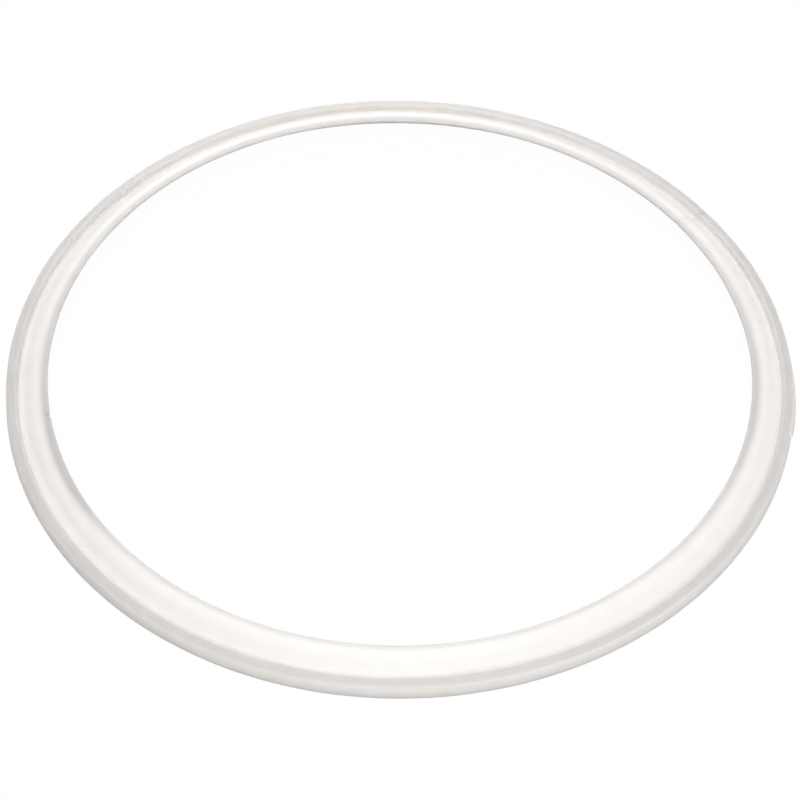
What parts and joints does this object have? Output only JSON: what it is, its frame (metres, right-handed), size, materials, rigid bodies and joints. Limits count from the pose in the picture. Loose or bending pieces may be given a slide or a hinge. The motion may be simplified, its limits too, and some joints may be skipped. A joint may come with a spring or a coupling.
{
  "type": "pressure cooker sealing ring",
  "caption": "Round moulded silicone sealing ring with a low outer wall, a narrow bead and a broad inner lip, for the lid of a stovetop pressure cooker.",
  "frame": {"origin": "centre of the ring, on the plane that its flat seat lies on", "axes": "+Z along the ring's axis, up from the seat towards the lip; +X and +Y are any two square directions across the ring"},
  "size_m": [0.241, 0.241, 0.0073],
  "materials": {
    "silicone": "moulded translucent white silicone, satin"
  },
  "bodies": {
    "root": {"sealing_ring": "silicone"}
  },
  "joints": []
}
